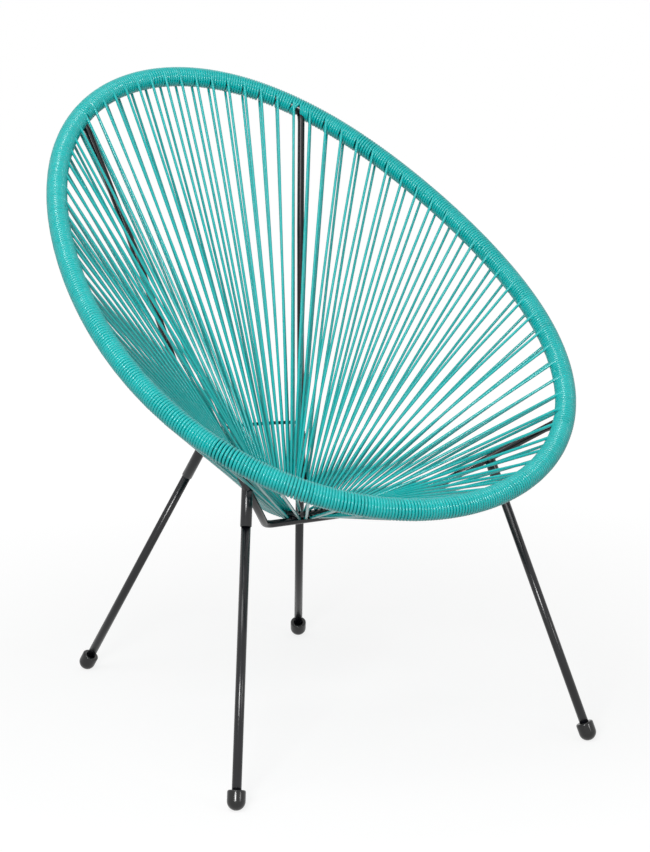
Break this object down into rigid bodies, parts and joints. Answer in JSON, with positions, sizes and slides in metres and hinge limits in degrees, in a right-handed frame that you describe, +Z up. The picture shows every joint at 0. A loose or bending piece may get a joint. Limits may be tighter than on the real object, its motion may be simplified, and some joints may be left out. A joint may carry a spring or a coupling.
{
  "type": "cord lounge chair",
  "caption": "Round-backed lounge chair: a pear-shaped tubular rim strung with PVC cord to a small base loop, on splayed push-in legs.",
  "frame": {"origin": "on the floor, under the middle of the chair's length and width", "axes": "+Z up, -Y towards the front edge of the seat, +X to the right seen from the front"},
  "size_m": [0.6598, 0.7611, 0.8509],
  "materials": {
    "frame_steel": "satin black powder coat",
    "foot_rubber": "smooth, glossy black",
    "seat_cord": "glossy turquoise PVC cord"
  },
  "bodies": {
    "root": {"rim_tube": "frame_steel", "front_rib_left": "frame_steel", "front_rib_right": "frame_steel", "rear_rib_left": "frame_steel", "rear_rib_right": "frame_steel", "base_bar": "frame_steel", "base_hoop": "frame_steel", "rear_cross_rod": "frame_steel", "leg_socket_front_left": "frame_steel", "leg_front_left": "frame_steel", "foot_front_left": "foot_rubber", "leg_socket_front_right": "frame_steel", "leg_front_right": "frame_steel", "foot_front_right": "foot_rubber", "leg_socket_rear_left": "frame_steel", "leg_rear_left": "frame_steel", "foot_rear_left": "foot_rubber", "leg_socket_rear_right": "frame_steel", "leg_rear_right": "frame_steel", "foot_rear_right": "foot_rubber", "seat_cord_rear": "seat_cord", "seat_cord_front": "seat_cord", "seat_cord_right_1": "seat_cord", "seat_cord_left_1": "seat_cord", "seat_cord_right_2": "seat_cord", "seat_cord_left_2": "seat_cord", "seat_cord_right_3": "seat_cord", "seat_cord_left_3": "seat_cord", "seat_cord_right_4": "seat_cord", "seat_cord_left_4": "seat_cord", "seat_cord_right_5": "seat_cord", "seat_cord_left_5": "seat_cord", "seat_cord_right_6": "seat_cord", "seat_cord_left_6": "seat_cord", "seat_cord_right_7": "seat_cord", "seat_cord_left_7": "seat_cord", "seat_cord_right_8": "seat_cord", "seat_cord_left_8": "seat_cord", "seat_cord_right_9": "seat_cord", "seat_cord_left_9": "seat_cord"}
  },
  "joints": []
}
